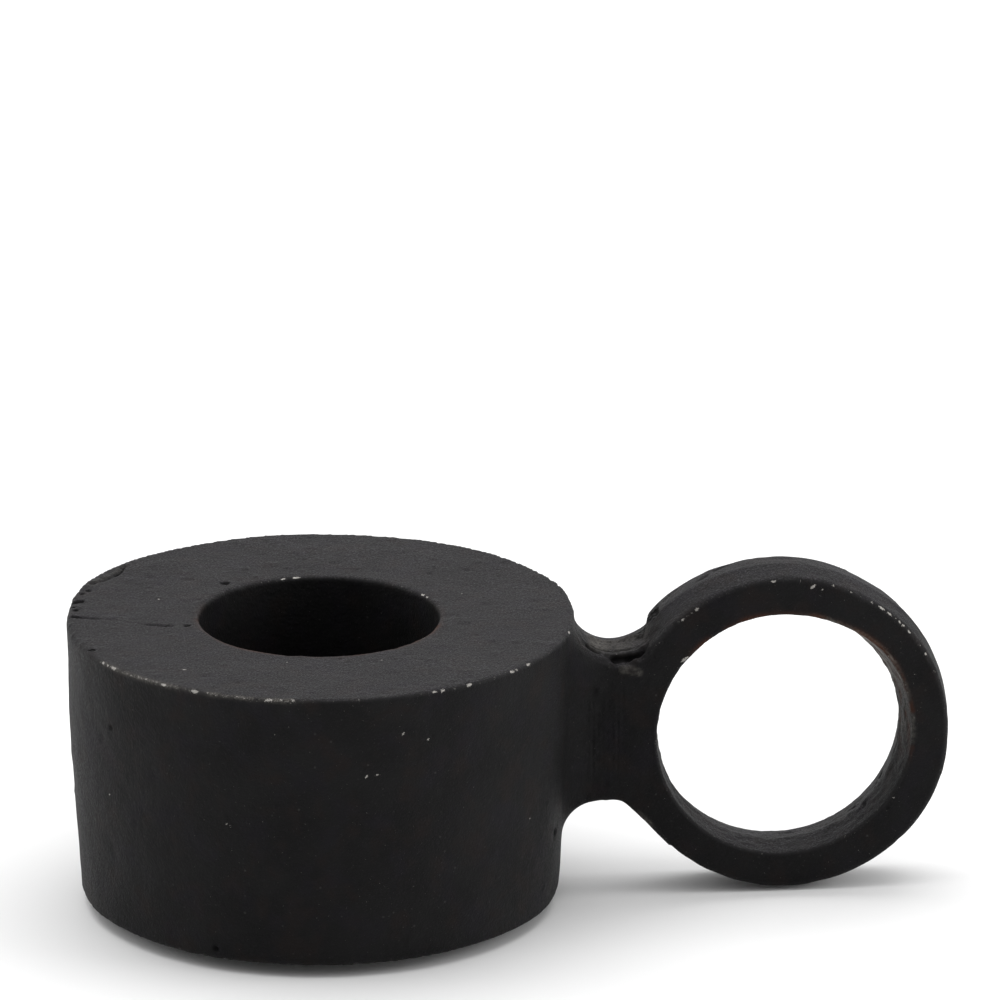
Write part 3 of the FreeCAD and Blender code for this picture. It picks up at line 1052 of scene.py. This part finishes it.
def used_paint(n, place, paint, edge, painted_shade):
    """The same with upward faces paler, partly dust and partly painted light from above, worn and rusty
    places with a painted highlight where most worn inside the ring's hole, pale specks, and painted shade
    in the hollows.
    """
    powder = n.ramp(n.noise(place, 0.17, 2.0, 0.7), 0.48, 0.68)
    # Upward faces are paler: partly dust, partly painted light from above.
    dust_and_toplight = n.math("MULTIPLY", n.ramp(n.facing_up(), 0.5, 0.95), powder)
    paint = n.mix(n.math("MULTIPLY", dust_and_toplight, 0.9), paint, DUST_AND_TOPLIGHT)
    paint = n.mix(n.ramp(edge, 0.3, 1.0, 0.0, 0.3), paint, PAINT_ON_EDGES)
    wear_and_highlight = n.attribute("wear_and_highlight")
    rub = n.math("MULTIPLY", wear_and_highlight, n.ramp(n.noise(place, 0.3, 3.0, 0.6), 0.25, 0.6))
    paint = n.mix(n.math("MULTIPLY", rub, 0.85), paint, PAINT_RUBBED)
    # Where the wear runs highest, inside the ring's hole, a painted highlight is laid on as well.
    paint = n.mix(n.ramp(wear_and_highlight, 1.3, 1.9, 0.0, 0.8), paint, POLISH_AND_PAINTED_HIGHLIGHT)
    paint = n.mix(n.math("MULTIPLY", n.attribute("rust"), 0.9), paint, RUST)
    speck, speck_colour = n.specks(place, 0.5)
    pick = n.tree.nodes.new("ShaderNodeSeparateColor")
    n.link(speck_colour, pick.inputs[0])
    dot = n.math("MULTIPLY", n.ramp(speck, 0.3, 0.15), n.ramp(pick.outputs[0], 0.965, 0.995))
    paint = n.mix(n.math("MULTIPLY", dot, 0.28), paint, PALE_SPECK)
    # Painted shade: the hollows are coloured near black.
    return n.mix(painted_shade, paint, PAINTED_SHADE_BLACK)


def chipped(n, place, edge):
    """Where the paint is off the iron: the ragged chips, and a little fretting along the edges."""
    raggedness = n.math("MULTIPLY", n.math("SUBTRACT", n.noise(place, 0.11, 2.0, 0.6), 0.5), 1.9)
    chip = n.ramp(n.math("ADD", n.attribute("bare"), raggedness), 0.42, 0.6)
    fret = n.math("MULTIPLY", n.ramp(edge, 0.5, 0.9), n.ramp(n.noise(place, 0.3, 3.0, 0.7), 0.62, 0.7))
    return n.math("MAXIMUM", chip, n.math("MULTIPLY", fret, 0.35))


def black_iron():
    """Matt black paint over sand-cast iron, dusty in the grain, paler on upward faces partly as painted
    light from above, with painted shade in its hollows, a painted highlight inside the ring's hole, and
    chipped along the edges.
    """
    n = Nodes("black_iron")
    place = n.millimetres()
    grain = n.noise(place, 0.2, 3.0, 0.65)
    sand = n.noise(place, 0.55, 2.0, 0.5)
    # Painted shade in the hollows; the same mask also roughens them.
    painted_shade = n.attribute("painted_shade")
    edge = n.attribute("edge")
    paint = used_paint(n, place, clouded_paint(n, place, grain), edge, painted_shade)
    chip = chipped(n, place, edge)
    metal = n.mix(n.noise(place, 0.25, 2.0), IRON_DULL, IRON_BRIGHT)
    n.link(n.mix(chip, paint, metal), n.shader.inputs["Base Color"])
    n.link(n.math("MULTIPLY", chip, 0.4), n.shader.inputs["Metallic"])
    rough = n.ramp(grain, 0.3, 0.7, 0.5, 0.68)
    rough = n.math("SUBTRACT", rough, n.math("MULTIPLY", chip, 0.15))
    rough = n.math("MAXIMUM", rough, painted_shade)
    n.link(rough, n.shader.inputs["Roughness"])
    n.shader.inputs["Specular IOR Level"].default_value = 0.095
    n.shader.inputs["Specular Tint"].default_value = (1.0, 0.98, 0.997, 1.0)

    normal = n.bump(sand, 0.0001, 0.7)
    normal = n.bump(grain, 0.0001, 1.0, normal)
    n.link(normal, n.shader.inputs["Normal"])
    return n.material


def black_felt():
    n = Nodes("black_felt")
    place = n.millimetres()
    fibre = n.noise(place, 0.25, 4.0, 0.7)
    clump = n.noise(place, 1.6, 2.0)
    colour = n.mix(n.ramp(fibre, 0.3, 0.7), FELT_DARK, FELT_PALER)
    colour = n.mix(n.ramp(clump, 0.35, 0.7, 0.0, 0.4), colour, FELT_CLUMPED)
    n.link(colour, n.shader.inputs["Base Color"])
    n.link(n.ramp(fibre, 0.2, 0.8, 0.85, 1.0), n.shader.inputs["Roughness"])
    n.shader.inputs["Specular IOR Level"].default_value = 0.2
    n.shader.inputs["Sheen Weight"].default_value = 0.35
    n.shader.inputs["Sheen Roughness"].default_value = 0.6
    normal = n.bump(clump, 0.0001, 0.4)
    n.link(n.bump(fibre, 0.00012, 0.8, normal), n.shader.inputs["Normal"])
    return n.material


def pale_floor():
    n = Nodes("pale_floor")
    colour = n.mix(n.noise(n.millimetres(), 60.0, 2.0), FLOOR_WHITE, FLOOR_WHITER)
    n.link(colour, n.shader.inputs["Base Color"])
    n.shader.inputs["Roughness"].default_value = 0.9
    n.shader.inputs["Specular IOR Level"].default_value = 0.1
    return n.material


# ---- Build ----

iron = black_iron()
whole = make_casting()
cup = part_off(whole, "cup_casting", [(CUP_NECK_CUT, -1)])
neck = part_off(whole, "neck_casting", [(CUP_NECK_CUT, 1), (NECK_RING_CUT, -1)])
ring = part_off(whole, "ring_casting", [(NECK_RING_CUT, 1)])
whole.free()
pad = make_pad()

for piece, node, slot, material in (
    (cup, "candle_cup", "black_iron", iron),
    (neck, "handle_neck", "black_iron", iron),
    (ring, "finger_ring", "black_iron", iron),
    (pad, "felt_base_pad", "black_felt", black_felt()),
):
    for polygon in piece.data.polygons:
        polygon.use_smooth = True
    piece.data.materials.append(material)
    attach(piece, BODY)
    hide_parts(node)

# ---- Stage: pale floor, soft light, long lens ----

SKY_LEVEL = 0.74
SKY_BRIGHTER_TOWARDS = (-0.1, 0.48, 0.1)


def make_floor():
    bm = bmesh.new()
    bmesh.ops.create_grid(bm, x_segments=8, y_segments=8, size=3.0)
    floor = as_object(bm, "floor")
    floor.data.materials.append(pale_floor())


def soft_light(name, place, aim, size, power):
    data = bpy.data.lights.new(name, "AREA")
    data.shape = "RECTANGLE"
    data.size, data.size_y = size
    data.energy = power
    lamp = bpy.data.objects.new(name, data)
    lamp.location = place
    lamp.rotation_euler = (Vector(aim) - Vector(place)).to_track_quat("-Z", "Y").to_euler()
    bpy.context.collection.objects.link(lamp)


def make_world():
    """An even white surround, brightest behind the object and on its left, dimmest in front."""
    world = bpy.data.worlds.new("studio")
    bpy.context.scene.world = world
    world.use_nodes = True
    tree = world.node_tree
    place = tree.nodes.new("ShaderNodeTexCoord")
    tilt = tree.nodes.new("ShaderNodeVectorMath")
    tilt.operation = "DOT_PRODUCT"
    tree.links.new(place.outputs["Generated"], tilt.inputs[0])
    tilt.inputs[1].default_value = SKY_BRIGHTER_TOWARDS
    level = tree.nodes.new("ShaderNodeMath")
    level.operation = "ADD"
    tree.links.new(tilt.outputs["Value"], level.inputs[0])
    level.inputs[1].default_value = SKY_LEVEL
    tree.links.new(level.outputs[0], tree.nodes["Background"].inputs["Strength"])
    tree.nodes["Background"].inputs["Color"].default_value = (1.0, 1.0, 1.0, 1.0)


def make_camera():
    """A long lens, a little to the left of the object's front and above it."""
    azimuth, elevation = math.radians(-5.7), math.radians(19.65)
    distance = 1.2476
    lens_mm = 468.0
    look_above, look_right = 0.02338, 0.00007
    middle_x = 17.27
    back = Vector((
        math.sin(azimuth) * math.cos(elevation),
        -math.cos(azimuth) * math.cos(elevation),
        math.sin(elevation)))
    right = Vector((math.cos(azimuth), math.sin(azimuth), 0))
    up = back.cross(right)
    middle = Vector((middle_x, 0, (BASE_Z + RIM_Z) / 2)) * MM
    data = bpy.data.cameras.new("camera")
    data.lens = lens_mm
    data.sensor_width = 36.0
    data.clip_start, data.clip_end = 0.05, 20.0
    camera = bpy.data.objects.new("camera", data)
    camera.location = middle + back * distance
    aim = middle + up * look_above + right * look_right
    camera.rotation_euler = (aim - camera.location).to_track_quat("-Z", "Y").to_euler()
    bpy.context.collection.objects.link(camera)
    bpy.context.scene.camera = camera


make_floor()
soft_light("overhead", place=(0.0, 0.1, 0.8), aim=(0.0, 0.0, 0.0), size=(0.9, 0.7), power=4.5)
soft_light("right", place=(0.75, -0.15, 0.25), aim=(0.0, 0.0, 0.015), size=(0.5, 0.5), power=2.6)
soft_light("left", place=(-0.75, 0.2, 0.25), aim=(0.0, 0.0, 0.015), size=(0.5, 0.5), power=1.0)
make_world()
bpy.context.scene.view_settings.view_transform = "Standard"
make_camera()
